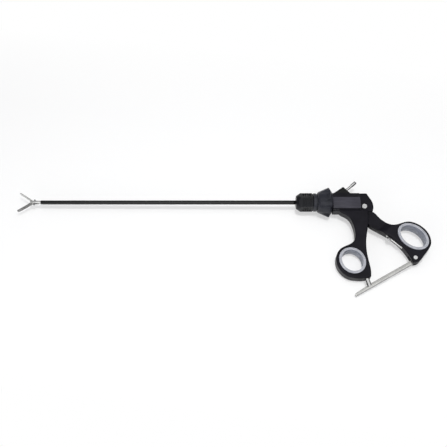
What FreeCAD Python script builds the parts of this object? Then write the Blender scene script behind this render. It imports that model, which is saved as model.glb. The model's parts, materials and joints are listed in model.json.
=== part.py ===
import FreeCAD, Part
import math
import os

# Laparoscopic grasper, 5 mm class, in millimetres. The shaft axis is the X axis and the origin is the
# centre of the sheath nut's front face. X runs towards the handle, Y towards the top of the barrel,
# and Z is square to the plane of the two handles. The jaws are modelled closed and turned open.

V = FreeCAD.Vector
X_AXIS = V(1, 0, 0)
Y_AXIS = V(0, 1, 0)
Z_AXIS = V(0, 0, 1)
ORIGIN = V(0, 0, 0)

# Shaft
sheath_radius = 2.5
sheath_length = 302.7
sleeve_wall = 0.35
sleeve_neck_radius = 2.3
tube_wall = 0.4
rod_radius = 1.0
rod_clearance = 0.08
rod_tongue_over = 0.05
rod_tongue_overlap = 0.1
seal_thickness = 1.2

# How far cuts run past a piece, and how near an edge has to be to its place to be taken
cut_over = 1.0
rim_tolerance = 0.01

# Jaws and the scissor linkage behind them
jaw_opening = 35.0
jaw_length = 20.0
jaw_half_width = 2.0
jaw_gap = 0.03
jaw_root_thickness = 2.25
jaw_tip_thickness = 1.35
jaw_slope_end = 2.2
jaw_nose_length = 0.7
jaw_nose_drop = 0.25
jaw_lip_height = 0.2
jaw_lip_length = 0.3
jaw_back = 1.0
tooth_pitch = 1.0
tooth_depth = 0.35
tooth_start = 5.2
tooth_count = 13
tooth_width_share = 0.8
window_half_width = 0.6
window_start = 6.6
window_end = 16.4
tail_length = 4.2
tail_angle = 18.0
tail_half_width = 0.8
tail_end_radius = 0.9
link_length = 4.6
link_half_width = 0.75
link_end_radius = 0.9
jaw_pin_radius = 0.6
link_pin_radius = 0.3
rod_pin_radius = 0.45
pin_clearance = 0.03
open_pivot_clearance = 0.33
layer_clearance = 0.05
tail_thickness = 0.7
link_thickness = 0.5
clevis_radius = 2.3
ear_radius = 2.3
clevis_length = 12.6
clevis_slot_end_clearance = 0.2
clevis_room_clearance = 0.25
clevis_slot_half = 1.65
spigot_length = 6.0
knuckle_radius = 2.15
knuckle_clearance = 0.35
neck_overlap = 0.8
neck_drop = 0.2
shaft_clearance = 0.05

# Rotating head behind the nut's front face
nut_length = 19.6
nut_corner_radius = 11.1
nut_turn = 26.0
nut_front_radius = 7.8
nut_chamfer_length = 5.0
nut_back_chamfer_length = 0.8
nut_back_chamfer_depth = 1.2
nut_grip_depth = 1.1
nut_grip_half = 4.0
nut_grip_width = 1.5
nut_grip_pitch = 2.7
nut_grip_start = 7.4
nut_grip_count = 4
nut_bore_depth = 12.0
thread_radius = 6.0
flange_thickness = 2.0
rod_seal_length = 2.8
rod_seal_radius = 3.0
collar_radius = 10.9
collar_length = 5.2
collar_chamfer = 0.8
collar_groove_width = 1.5
collar_groove_depth = 1.0
wheel_length = 17.2
wheel_front_radius = 12.4
wheel_radius = 17.5
wheel_crown_at = 12.6
wheel_back_radius = 11.5
wheel_edge_chamfer = 1.0
wheel_crown_width = 0.8
wheel_lobes = 6
flute_radius = 5.0
flute_depth = 3.9
spindle_radius = 5.0
spindle_bore_radius = 1.5
running_clearance = 0.05
axial_clearance = 0.3
bush_wall = 1.8
bush_length = 8.6
circlip_thickness = 1.2
circlip_radius = 6.2
circlip_room = 0.4
circlip_groove_depth = 0.8
circlip_gap = 2.4

# Barrel
barrel_gap = 0.5
barrel_top = 10.0
barrel_bottom = -13.4
barrel_core_half = 5.0
barrel_round = 1.2
barrel_shoulder = 4.3
barrel_slope_end = 7.7
barrel_slope_foot = 3.4
barrel_back = 10.9
barrel_back_drop = 5.8
barrel_tail = 1.6
barrel_tail_drop = 0.6
cheek_half = 8.0
cheek_bulge = 0.35
cheek_top = 3.1
cheek_bottom = -11.4
cheek_chamfer = 1.4
cheek_before_pivot = 4.6
boss_radius = 4.6
boss_height = 0.6
chamber_half = 3.65
rod_tunnel_radius = 3.0
chamber_roof_gap = 1.2
chamber_roof_run = 2.8
chamber_roof_drop = 1.7
chamber_side_gap = 0.2
swing_front = [(75.0, -33.0), (77.9, -37.6), (84.0, -44.0), (110.0, -44.0)]
swing_rear = [(110.0, -21.3), (90.8, -14.9), (85.0, -12.7)]

# Thumb lever pivot and the ball joint at the rod's rear end
pivot_x = 79.5
lever_travel = 19.0
lever_head_half = 3.5
lever_head_radius = 6.5
lever_shoulder_inset = 0.3
head_clearance = 0.4
fork_half = 4.0
fork_above_ball = 3.0
ball_radius = 2.0
ball_clearance = 0.12
ball_seat_drop = 0.1
neck_slit_half = 1.3
screw_radius = 2.0
screw_clearance = 0.04
screw_head_radius = 3.1
screw_head_height = 1.4
screw_head_round = 0.5
screw_slot_half = 0.4
screw_slot_depth = 0.7
screw_slot_angle = 35.0
nut_corner = 3.6
nut_height = 2.4

# Handles and rings
arm_half = 5.5
edge_round = 1.6
arm_top_behind = 6.0
arm_top_y = -11.5
arm_inner_x = 65.8
arm_bend_run = 17.0
arm_bend = [(3.4, -15.9), (8.8, -19.0), (12.9, -23.4), (15.6, -30.5)]
finger_centre = V(59.9, -76.7, 0)
finger_insert_major = 16.3
finger_insert_minor = 14.8
finger_tilt = -63.0
finger_ring_shift = V(0.6, -1.0, 0)
finger_ring_major = 20.6
finger_ring_minor = 18.6
finger_insert_half = 6.4
thumb_centre = V(131.9, -47.3, 0)
thumb_insert_major = 19.2
thumb_insert_minor = 14.5
thumb_tilt = -42.0
thumb_ring_major = 22.2
thumb_ring_minor = 18.2
thumb_insert_half = 7.4
insert_lip = 1.2
insert_rim = 3.0
insert_round = 0.8
insert_groove_inset = 1.3
insert_groove_width = 0.5
insert_groove_depth = 0.35
thin_reach = 31.5
thin_run = 7.0

# Ratchet
bar_pin = V(131.4, -73.4, 0)
bar_angle = 29.7
bar_half_width = 2.4
bar_offset = 1.7
bar_length = 83.0
bar_tip_width = 3.2
bar_taper_length = 22.0
bar_half = 1.5
bar_hub_radius = 2.9
bar_slot_half = 1.65
bar_slot_gap = 0.5
bar_slot_reach = 16.0
bar_corner = 1.0
bar_heel = 4.0
bar_pin_radius = 1.4
bar_pin_head_radius = 2.3
bar_pin_head_height = 0.7
ratchet_teeth_start = 9.0
ratchet_pitch = 1.25
ratchet_depth = 0.7
ratchet_teeth = 46
ratchet_width_share = 0.9
catch_foot = V(73.7, -93.6, 0)
catch_tip = V(76.6, -104.9, 0)
catch_half_width = 2.3
catch_thickness = 1.5
catch_clearance = 0.2
catch_pin_radius = 0.9
catch_pin_over = 0.8
catch_tooth_half = 1.3
catch_tooth_height = 1.9
catch_tooth_flat = 0.2

# Leaf spring on the lever's inner edge
spring_thickness = 0.5
spring_half_width = 2.4
spring_tongue_half = 1.3
spring_tongue_reach = 15.2
spring_tongue_rise = 2.4
spring_root = V(102.4, -43.7, 0)
spring_bend = V(121.1, -61.5, 0)
spring_pad_before = 2.0
spring_pad_length = 9.0
spring_pad_depth = 4.0
spring_screw_from_root = 4.6
spring_screw_depth = 6.0
spring_screw_radius = 1.3
spring_head_radius = 3.0
spring_head_height = 2.0
spring_head_round = 0.9
spring_clearance = 0.15

# High-frequency connector
block_half = 5.0
block_setback = 2.0
block_apex_setback = 13.9
block_apex_y = 18.5
block_back_setback = 21.5
hf_pin_radius = 2.0
hf_neck_radius = 1.6
hf_neck_length = 10.8
hf_pin_length = 6.9
hf_from_apex = 4.3
hf_shank = 4.6
hf_contact_radius = 1.2
hf_contact_gap = 0.12
hf_end_round = 0.7
block_apex_round = 0.8

# Places worked out from the sizes above
pivot_end = -(sheath_length + clevis_length) + ear_radius
jaw_pivot = V(pivot_end, 0, 0)


def linkage_reach(angle):
    """Distance from the jaw pivot to the rod's pin when the tails stand at this angle."""
    a = math.radians(angle)
    return tail_length * math.cos(a) + math.sqrt(link_length ** 2 - (tail_length * math.sin(a)) ** 2)


def link_angle(angle):
    """Angle between a link and the shaft axis when the tails stand at this angle."""
    return math.degrees(math.asin(tail_length * math.sin(math.radians(angle)) / link_length))


rod_pin_closed = pivot_end + linkage_reach(tail_angle)
rod_pin_open = pivot_end + linkage_reach(tail_angle + jaw_opening)
rod_travel = rod_pin_closed - rod_pin_open
link_turn = link_angle(tail_angle + jaw_opening) - link_angle(tail_angle)
half_travel = math.radians(lever_travel / 2)
ball_arm = rod_travel / (2 * math.sin(half_travel))
pivot = V(pivot_x, -ball_arm * math.cos(half_travel), 0)
ball_x = pivot_x - ball_arm * math.sin(half_travel)

tube_radius = sheath_radius - sleeve_wall
tube_bore = tube_radius - tube_wall
flange_radius = thread_radius
flange_start = nut_bore_depth
tube_seal_start = flange_start + flange_thickness
spindle_start = tube_seal_start + seal_thickness
collar_start = nut_length + axial_clearance
wheel_start = collar_start + collar_length
wheel_end = wheel_start + wheel_length
barrel_front = wheel_end + barrel_gap
block_front = barrel_front + block_setback
block_apex = V(barrel_front + block_apex_setback, block_apex_y, 0)
block_back = barrel_front + block_back_setback
boss_face = barrel_core_half + boss_height
shoulder_end = barrel_front - axial_clearance
bush_radius = spindle_radius + running_clearance + bush_wall
bush_end = barrel_front + bush_length
circlip_seat_radius = spindle_radius - circlip_groove_depth
circlip_start = bush_end + axial_clearance
circlip_end = circlip_start + circlip_thickness
spindle_end = circlip_end + axial_clearance
pocket_end = spindle_end + axial_clearance
pocket_radius = circlip_radius + circlip_room


def polygon(points, z=0.0):
    """Closed wire through points given as (x, y)."""
    vectors = [V(x, y, z) for x, y in points]
    return Part.makePolygon(vectors + vectors[:1])


def prism(points, low, high):
    """Straight-sided solid over a polygon in the XY plane."""
    return Part.Face(polygon(points, low)).extrude(V(0, 0, high - low))


def wire_prism(wire, half):
    """Solid over a closed wire in the XY plane, from -half to half."""
    return Part.Face(wire).extrude(V(0, 0, 2 * half)).translated(V(0, 0, -half))


def rod_x(radius, start, end, y=0.0, z=0.0):
    return Part.makeCylinder(radius, end - start, V(start, y, z), X_AXIS)


def rod_z(radius, centre, low, high):
    return Part.makeCylinder(radius, high - low, V(centre.x, centre.y, low), Z_AXIS)


def tube_x(outer, inner, start, end):
    return rod_x(outer, start, end).cut(rod_x(inner, start - cut_over, end + cut_over))


def turned(profile):
    """Solid of revolution about the X axis from (x, radius) corners."""
    vectors = [V(x, r, 0) for x, r in profile]
    face = Part.Face(Part.makePolygon(vectors + vectors[:1]))
    return face.revolve(ORIGIN, X_AXIS, 360)


def ellipse_prism(centre, major, minor, tilt, low, high):
    """Solid with an elliptical outline, its long axis at tilt degrees from X."""
    curve = Part.Ellipse(ORIGIN, major, minor)
    edge = curve.toShape()
    solid = Part.Face(Part.Wire([edge])).extrude(V(0, 0, high - low))
    solid.rotate(ORIGIN, Z_AXIS, tilt)
    solid.translate(V(centre.x, centre.y, low))
    return solid


def ellipse_point(centre, major, minor, tilt, angle):
    """Point of a tilted ellipse at an angle measured in its own axes."""
    t = math.radians(angle)
    c = math.radians(tilt)
    a = major * math.cos(t)
    b = minor * math.sin(t)
    x = centre.x + a * math.cos(c) - b * math.sin(c)
    y = centre.y + a * math.sin(c) + b * math.cos(c)
    return (x, y)


def at_angle(centre, radius, angle):
    a = math.radians(angle)
    return V(centre.x + radius * math.cos(a), centre.y + radius * math.sin(a), centre.z)


def spline(points):
    curve = Part.BSplineCurve()
    curve.interpolate([V(x, y, 0) for x, y in points])
    return curve.toShape()


def line(start, end):
    return Part.makeLine(V(start[0], start[1], 0), V(end[0], end[1], 0))


def rounded_slab(wire, half, radius):
    """Slab over a closed wire with the two outlines of its flat faces rounded over."""
    slab = wire_prism(wire, half)
    flat = [e for e in slab.Edges if e.BoundBox.ZLength < rim_tolerance]
    rims = [e for e in flat if abs(abs(e.BoundBox.ZMin) - half) < rim_tolerance]
    return slab.makeFillet(radius, rims)


def rounded_end(head, end, radius):
    """Cylinder with the rim round its end point rounded over."""
    rim = [e for e in head.Edges if e.BoundBox.Center.distanceToPoint(end) < rim_tolerance]
    return head.makeFillet(radius, rim)


def save(shape, name):
    solids = shape.Solids
    result = solids[0] if len(solids) == 1 else Part.makeCompound(solids)
    result = result.removeSplitter()
    result.exportStep("parts/" + name + ".step")
    box = result.BoundBox
    print(
        f"{name}: {len(solids)} solid, valid {result.isValid()}, volume {result.Volume:.2f}, "
        f"x {box.XMin:.2f}..{box.XMax:.2f} y {box.YMin:.2f}..{box.YMax:.2f} z {box.ZMin:.2f}..{box.ZMax:.2f}"
    )


# Working end
def jaw_clevis():
    slot_end = rod_pin_closed - clevis_slot_end_clearance
    pocket_half = link_end_radius + clevis_room_clearance
    pocket = rod_pin_closed + pocket_half
    body = rod_x(clevis_radius, pivot_end, -sheath_length)
    nose = rod_x(clevis_radius, pivot_end - ear_radius, pivot_end)
    nose = nose.common(rod_z(ear_radius, jaw_pivot, -clevis_radius, clevis_radius))
    spigot = rod_x(tube_bore, -sheath_length, -sheath_length + spigot_length)
    body = body.fuse([nose, spigot])
    reach = 2 * clevis_radius
    width = 2 * clevis_slot_half
    slot_corner = V(pivot_end - reach, -reach, -clevis_slot_half)
    slot = Part.makeBox(slot_end - slot_corner.x, 2 * reach, width, slot_corner)
    room_corner = V(pivot_end, -pocket_half, -clevis_slot_half)
    room = Part.makeBox(pocket - pivot_end, 2 * pocket_half, width, room_corner)
    bore = rod_x(rod_radius + rod_clearance, pivot_end, -sheath_length + spigot_length + cut_over)
    pin_hole = rod_z(jaw_pin_radius, jaw_pivot, -reach, reach)
    return body.cut([slot, room, bore, pin_hole])


def jaw_pivot_pin():
    pin = rod_z(jaw_pin_radius, jaw_pivot, -clevis_radius, clevis_radius)
    return pin.common(rod_x(clevis_radius, pivot_end - jaw_pin_radius, pivot_end + jaw_pin_radius))


def closed_envelope():
    """Room inside the shaft's diameter that the closed jaws, tails and links keep to."""
    front = pivot_end - jaw_length - cut_over
    return rod_x(sheath_radius - shaft_clearance, front, rod_pin_closed + 2 * link_end_radius)


def jaw_plate():
    """Gripping half of a jaw, closed, above the shaft axis, with its teeth cut."""
    back = pivot_end - jaw_back
    tip = pivot_end - jaw_length
    side = [
        (back, jaw_gap),
        (back, jaw_root_thickness),
        (pivot_end - tooth_start, jaw_root_thickness),
        (tip + jaw_slope_end, jaw_tip_thickness),
        (tip + jaw_nose_length, jaw_tip_thickness - jaw_nose_drop),
        (tip, jaw_tip_thickness / 2),
        (tip, jaw_gap + jaw_lip_height),
        (tip + jaw_lip_length, jaw_gap),
    ]
    plate = prism(side, -jaw_half_width, jaw_half_width)
    nose_x = tip + jaw_half_width
    plan_corner = V(nose_x, -sheath_radius, -jaw_half_width)
    plan = Part.makeBox(back - nose_x, 2 * sheath_radius, 2 * jaw_half_width, plan_corner)
    nose = Part.makeCylinder(jaw_half_width, 2 * sheath_radius, V(nose_x, -sheath_radius, 0), Y_AXIS)
    plate = plate.common(plan.fuse(nose))
    plate = plate.common(closed_envelope())
    cuts = [rod_z(knuckle_radius + knuckle_clearance, jaw_pivot, -2 * sheath_radius, 2 * sheath_radius)]
    for n in range(tooth_count):
        x = pivot_end - tooth_start - n * tooth_pitch
        foot = x - tooth_width_share * tooth_pitch
        notch = [(x, -cut_over), (foot, -cut_over), (foot, jaw_gap), (x, jaw_gap + tooth_depth)]
        cuts.append(prism(notch, -2 * jaw_half_width, 2 * jaw_half_width))
    slot_start = pivot_end - window_end
    slot_stop = pivot_end - window_start
    window_corner = V(slot_start, -cut_over, -window_half_width)
    window = Part.makeBox(slot_stop - slot_start, 2 * sheath_radius, 2 * window_half_width, window_corner)
    ends = []
    for x in (slot_start, slot_stop):
        ends.append(Part.makeCylinder(window_half_width, 2 * sheath_radius, V(x, -cut_over, 0), Y_AXIS))
    return plate.cut(cuts + [window.fuse(ends)])


def jaw_closed():
    low = layer_clearance
    inner = clevis_slot_half - layer_clearance
    knuckle = rod_z(knuckle_radius, jaw_pivot, low, inner)
    neck_end = knuckle_radius + knuckle_clearance + neck_overlap
    neck_top = knuckle_radius - neck_drop
    neck = prism(
        [
            (pivot_end, jaw_gap),
            (pivot_end, neck_top),
            (pivot_end - neck_end, neck_top),
            (pivot_end - neck_end, jaw_gap + tooth_depth),
            (pivot_end - knuckle_radius, jaw_gap),
        ],
        low,
        inner,
    )
    tail_pin = at_angle(jaw_pivot, tail_length, -tail_angle)
    tail = Part.makeBox(tail_length, 2 * tail_half_width, tail_thickness, V(0, -tail_half_width, low))
    tail.rotate(ORIGIN, Z_AXIS, -tail_angle)
    tail.translate(jaw_pivot)
    tail_eye = rod_z(tail_end_radius, tail_pin, low, low + tail_thickness)
    solid = jaw_plate().fuse([knuckle, neck, tail, tail_eye]).common(closed_envelope())
    pivot_hole = rod_z(jaw_pin_radius + pin_clearance, jaw_pivot, -sheath_radius, sheath_radius)
    tail_hole = rod_z(link_pin_radius, tail_pin, -sheath_radius, sheath_radius)
    return solid.cut([pivot_hole, tail_hole])


def link_low():
    return layer_clearance + tail_thickness + layer_clearance


def link_pin_closed():
    tail_pin = at_angle(jaw_pivot, tail_length, -tail_angle)
    return rod_z(link_pin_radius, tail_pin, layer_clearance, link_low() + link_thickness)


def opened(shape, side):
    """Upper jaw parts stay above the shaft axis, lower ones are turned half round it, then both open."""
    result = shape.copy()
    if side < 0:
        result.rotate(jaw_pivot, X_AXIS, 180)
    result.rotate(jaw_pivot, Z_AXIS, -side * jaw_opening)
    return result


def link(side):
    """Link from a jaw's tail pin to the rod's pin, made with the jaws closed and then moved to open."""
    tail_pin = at_angle(jaw_pivot, tail_length, -tail_angle)
    rod_pin = V(rod_pin_closed, 0, 0)
    low = link_low()
    web = Part.makeBox(link_length, 2 * link_half_width, link_thickness, V(0, -link_half_width, low))
    web.rotate(ORIGIN, Z_AXIS, link_angle(tail_angle))
    web.translate(tail_pin)
    eyes = [rod_z(link_end_radius, p, low, low + link_thickness) for p in (tail_pin, rod_pin)]
    body = web.fuse(eyes).common(closed_envelope())
    tail_hole = rod_z(link_pin_radius + open_pivot_clearance, tail_pin, 0, sheath_radius)
    rod_hole = rod_z(rod_pin_radius + pin_clearance, rod_pin, 0, sheath_radius)
    body = body.cut([tail_hole, rod_hole])
    body.rotate(rod_pin, Z_AXIS, link_turn)
    body.translate(V(-rod_travel, 0, 0))
    if side < 0:
        body.rotate(ORIGIN, X_AXIS, 180)
    return body


def rod_end_pin():
    reach = link_low() + link_thickness
    return rod_z(rod_pin_radius, V(rod_pin_open, 0, 0), -reach, reach)


def push_rod():
    half = link_low() - layer_clearance
    tongue_half = link_end_radius + rod_tongue_over
    eye = rod_z(tongue_half, V(rod_pin_open, 0, 0), -half, half)
    corner = V(rod_pin_open, -tongue_half, -half)
    tongue = Part.makeBox(tongue_half + rod_tongue_overlap, 2 * tongue_half, 2 * half, corner)
    shank = rod_x(rod_radius, rod_pin_open + tongue_half, ball_x)
    hole = rod_z(rod_pin_radius, V(rod_pin_open, 0, 0), -sheath_radius, sheath_radius)
    return shank.fuse([eye, tongue]).cut(hole)


def rod_ball():
    ball = Part.makeSphere(ball_radius, V(ball_x, 0, 0))
    return ball.cut(rod_x(rod_radius, ball_x - 2 * ball_radius, ball_x))


# Shaft tubes and the head that turns
def insulation_sleeve():
    body = rod_x(sheath_radius, -sheath_length, 0)
    neck = rod_x(sleeve_neck_radius, 0, nut_bore_depth)
    return body.fuse(neck).cut(rod_x(tube_radius, -sheath_length - cut_over, nut_bore_depth + cut_over))


def inner_tube():
    body = rod_x(tube_radius, -sheath_length, flange_start)
    flange = rod_x(flange_radius, flange_start, flange_start + flange_thickness)
    end = flange_start + flange_thickness
    return body.fuse(flange).cut(rod_x(tube_bore, -sheath_length - cut_over, end + cut_over))


def tube_seal():
    return tube_x(thread_radius, tube_bore, tube_seal_start, spindle_start)


def sheath_nut():
    flat = nut_corner_radius * math.cos(math.pi / 6)
    profile = [
        (0, sleeve_neck_radius),
        (0, nut_front_radius),
        (nut_chamfer_length, nut_corner_radius),
        (nut_length - nut_back_chamfer_length, nut_corner_radius),
        (nut_length, nut_corner_radius - nut_back_chamfer_depth),
        (nut_length, thread_radius),
        (nut_bore_depth, thread_radius),
        (nut_bore_depth, sleeve_neck_radius),
    ]
    corners = [V(0, *polar(nut_corner_radius, nut_turn + 60 * n)) for n in range(6)]
    prism_x = Part.Face(Part.makePolygon(corners + corners[:1])).extrude(V(nut_length, 0, 0))
    body = turned(profile).common(prism_x)
    grips = []
    for side in range(6):
        for n in range(nut_grip_count):
            x = nut_grip_start + n * nut_grip_pitch
            corner = V(x, -nut_grip_half, flat - nut_grip_depth)
            groove = Part.makeBox(nut_grip_width, 2 * nut_grip_half, 2 * nut_grip_depth, corner)
            groove.rotate(ORIGIN, X_AXIS, nut_turn + 60 * side)
            grips.append(groove)
    return body.cut(grips)


def polar(radius, angle):
    a = math.radians(angle)
    return radius * math.cos(a), radius * math.sin(a)


def knob_collar():
    groove = wheel_start - collar_groove_width
    groove_radius = collar_radius - collar_groove_depth
    profile = [
        (collar_start, thread_radius),
        (collar_start, collar_radius - collar_chamfer),
        (collar_start + collar_chamfer, collar_radius),
        (groove, collar_radius),
        (groove, groove_radius),
        (wheel_start, groove_radius),
        (wheel_start, thread_radius),
    ]
    return turned(profile)


def rotation_wheel():
    crown = wheel_start + wheel_crown_at
    profile = [
        (wheel_start, thread_radius),
        (wheel_start, wheel_front_radius - wheel_edge_chamfer),
        (wheel_start + wheel_edge_chamfer, wheel_front_radius),
        (crown, wheel_radius),
        (crown + wheel_crown_width, wheel_radius),
        (wheel_end, wheel_back_radius),
        (wheel_end, thread_radius),
    ]
    body = turned(profile)
    centre = wheel_radius - flute_depth + flute_radius
    flutes = []
    for n in range(wheel_lobes):
        y, z = polar(centre, 360 / wheel_lobes * n)
        flutes.append(rod_x(flute_radius, wheel_start - cut_over, wheel_end + cut_over, y, z))
    return body.cut(flutes)


def spindle():
    front = rod_x(thread_radius, spindle_start, shoulder_end)
    journal = rod_x(spindle_radius, shoulder_end, spindle_end)
    bore = rod_x(spindle_bore_radius, spindle_start - cut_over, spindle_end + cut_over)
    seal_seat = rod_x(rod_seal_radius, spindle_start - cut_over, spindle_start + rod_seal_length)
    groove = tube_x(spindle_radius + cut_over, circlip_seat_radius, circlip_start, circlip_end)
    return front.fuse(journal).cut([bore, seal_seat, groove])


def rod_seal():
    return tube_x(rod_seal_radius, rod_radius + rod_clearance, spindle_start, spindle_start + rod_seal_length)


def spindle_circlip():
    ring = tube_x(circlip_radius, circlip_seat_radius, circlip_start, circlip_end)
    corner = V(circlip_start - circlip_thickness, -circlip_gap / 2, 0)
    gap = Part.makeBox(3 * circlip_thickness, circlip_gap, 2 * circlip_radius, corner)
    return ring.cut(gap)


# Front handle
def cheek_arc(side):
    middle = V(0, (cheek_top + cheek_bottom) / 2, side * (cheek_half + cheek_bulge))
    top = V(0, cheek_top, side * cheek_half)
    bottom = V(0, cheek_bottom, side * cheek_half)
    return Part.Arc(top, middle, bottom).toShape()


def cheeks():
    """Side faces of the barrel, slightly rounded, which end in front of the pivot."""
    foot = cheek_bottom - cheek_chamfer
    foot_half = cheek_half - cheek_chamfer
    section = Part.Wire(
        [
            Part.makeLine(V(0, barrel_top, -barrel_core_half), V(0, barrel_top, barrel_core_half)),
            Part.makeLine(V(0, barrel_top, barrel_core_half), V(0, cheek_top, cheek_half)),
            cheek_arc(1),
            Part.makeLine(V(0, cheek_bottom, cheek_half), V(0, foot, foot_half)),
            Part.makeLine(V(0, foot, foot_half), V(0, foot, -foot_half)),
            Part.makeLine(V(0, foot, -foot_half), V(0, cheek_bottom, -cheek_half)),
            cheek_arc(-1),
            Part.makeLine(V(0, cheek_top, -cheek_half), V(0, barrel_top, -barrel_core_half)),
        ]
    )
    solid = Part.Face(section).extrude(V(pivot_x - cheek_before_pivot - barrel_front, 0, 0))
    return solid.translated(V(barrel_front, 0, 0))


def barrel():
    back = pivot_x + barrel_back
    shoulder = (pivot_x + barrel_shoulder, barrel_top)
    upper = (pivot_x + barrel_slope_end, barrel_slope_foot)
    lower = (back - barrel_tail, barrel_bottom - barrel_tail_drop)
    outline = Part.Wire(
        [
            line((barrel_front, barrel_bottom), (barrel_front, barrel_top)),
            line((barrel_front, barrel_top), shoulder),
            line(shoulder, upper),
            Part.Arc(V(*upper, 0), V(back, -barrel_back_drop, 0), V(*lower, 0)).toShape(),
            line(lower, (barrel_front, barrel_bottom)),
        ]
    )
    core = rounded_slab(outline, barrel_core_half, barrel_round)
    boss = rod_z(boss_radius, pivot, -boss_face, boss_face)
    return core.fuse([cheeks(), boss])


def ring_arc(centre, major, minor, tilt, angles):
    return [ellipse_point(centre, major, minor, tilt, a) for a in angles]


def front_arm():
    centre = finger_centre + finger_ring_shift
    angles = (188, 212, 240, 268, 296, 318, 335)
    ring = ring_arc(centre, finger_ring_major, finger_ring_minor, finger_tilt, angles)
    top = (barrel_front + arm_top_behind, arm_top_y)
    bend_share = (arm_inner_x - top[0]) / arm_bend_run
    bend = [(top[0] + run * bend_share, y) for run, y in arm_bend]
    front = [top] + bend + [(arm_inner_x, -38.5), (arm_inner_x, -45.6), (64.2, -51.0), (60.0, -55.2)]
    heel = (79.2, -96.0)
    foot = [(70.5, -98.2), heel]
    rear = [heel, (79.9, -88.5), (78.2, -74.5), (77.3, -61.5), (78.3, -49.0)]
    rear += [(80.9, -36.5), (82.9, -26.0), (83.6, -12.0)]
    wire = Part.Wire([spline(front + ring + foot), spline(rear), line(rear[-1], top)])
    return rounded_slab(wire, arm_half, edge_round)


def lever_chamber():
    """Room inside the housing for the lever's head, its fork and its swing."""
    h = chamber_half
    left = pivot_x - lever_head_radius - head_clearance
    right = pivot_x + lever_head_radius + head_clearance
    top = ball_arm + fork_above_ball + chamber_roof_gap + pivot.y
    eaves = top - chamber_roof_drop
    roof = [(left + chamber_side_gap, eaves), (left + chamber_roof_run, top)]
    roof += [(right - chamber_roof_run, top), (right - chamber_side_gap, eaves)]
    upper = prism([(left, pivot.y)] + roof + [(right, pivot.y)], -h, h)
    disc = rod_z(lever_head_radius + head_clearance, pivot, -h, h)
    swing = prism([(left, pivot.y)] + swing_front + swing_rear + [(right, pivot.y)], -h, h)
    return upper.fuse([disc, swing])


def front_handle():
    body = barrel().fuse(front_arm())
    ring_bore = ellipse_prism(
        finger_centre,
        finger_insert_major - insert_lip,
        finger_insert_minor - insert_lip,
        finger_tilt,
        -2 * arm_half,
        2 * arm_half,
    )
    cuts = [
        lever_chamber(),
        rod_x(bush_radius, barrel_front - cut_over, bush_end),
        rod_x(pocket_radius, bush_end, pocket_end),
        rod_x(rod_tunnel_radius, pocket_end - cut_over, pivot_x - lever_head_radius + cut_over),
        rod_z(screw_radius, pivot, -2 * boss_face, 2 * boss_face),
        ring_bore,
        contact_column(),
        catch_plate(),
        catch_pin(),
    ]
    return body.cut(cuts)


def front_bush():
    return tube_x(bush_radius, spindle_radius + running_clearance, barrel_front, bush_end)


def pivot_screw():
    top = boss_face + screw_head_height
    shank = rod_z(screw_radius, pivot, -boss_face - nut_height, boss_face)
    head = rod_z(screw_head_radius, pivot, boss_face, top)
    head = rounded_end(head, V(pivot_x, pivot.y, top), screw_head_round)
    corner = V(pivot_x - 2 * screw_head_radius, pivot.y - screw_slot_half, top - screw_slot_depth)
    slot = Part.makeBox(4 * screw_head_radius, 2 * screw_slot_half, 2 * screw_slot_depth, corner)
    slot.rotate(pivot, Z_AXIS, screw_slot_angle)
    return shank.fuse(head).cut(slot)


def pivot_nut():
    corners = [at_angle(pivot, nut_corner, 60 * n) for n in range(6)]
    points = [(p.x, p.y) for p in corners]
    body = prism(points, -boss_face - nut_height, -boss_face)
    return body.cut(rod_z(screw_radius, pivot, -2 * boss_face, 0))


def ring_insert(centre, major, minor, tilt, half, seat):
    """Ring lining: a sleeve through the handle with a grooved lip over each face."""
    sleeve = ellipse_prism(centre, major - insert_lip, minor - insert_lip, tilt, -seat, seat)
    lips = []
    for low, high in ((seat, half), (-half, -seat)):
        lip = ellipse_prism(centre, major, minor, tilt, low, high)
        outer = high if low > 0 else low
        flat = [e for e in lip.Edges if e.BoundBox.ZLength < rim_tolerance]
        rim = [e for e in flat if abs(e.BoundBox.ZMin - outer) < rim_tolerance]
        lips.append(lip.makeFillet(insert_round, rim))
    body = sleeve.fuse(lips)
    hole = ellipse_prism(centre, major - insert_rim, minor - insert_rim, tilt, -2 * half, 2 * half)
    grooves = []
    outer = insert_groove_inset
    inner = insert_groove_inset + insert_groove_width
    floor = half - insert_groove_depth
    for low, high in ((floor, half + cut_over), (-half - cut_over, -floor)):
        ring = ellipse_prism(centre, major - outer, minor - outer, tilt, low, high)
        grooves.append(ring.cut(ellipse_prism(centre, major - inner, minor - inner, tilt, low, high)))
    return body.cut([hole] + grooves)


def finger_ring_insert():
    return ring_insert(
        finger_centre, finger_insert_major, finger_insert_minor, finger_tilt, finger_insert_half, arm_half
    )


def thumb_ring_insert():
    return ring_insert(
        thumb_centre, thumb_insert_major, thumb_insert_minor, thumb_tilt, thumb_insert_half, arm_half
    )


# High-frequency connector
def hf_frame():
    """Base point on the block's rear face and the pin's direction, square to that face."""
    slope = V(block_back, barrel_top, 0) - block_apex
    slope.normalize()
    base = block_apex + slope * hf_from_apex
    return base, V(-slope.y, slope.x, 0)


def hf_pin():
    base, axis = hf_frame()
    shank = Part.makeCylinder(hf_neck_radius, hf_shank + hf_neck_length, base - axis * hf_shank, axis)
    pin = Part.makeCylinder(hf_pin_radius, hf_pin_length, base + axis * hf_neck_length, axis)
    end = base + axis * (hf_neck_length + hf_pin_length)
    return shank.fuse(rounded_end(pin, end, hf_end_round))


def contact_column():
    base, axis = hf_frame()
    x = (base - axis * (hf_shank - hf_contact_radius)).x
    low = rod_radius + hf_contact_gap
    return Part.makeCylinder(hf_contact_radius, base.y - low, V(x, low, 0), Y_AXIS)


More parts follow.
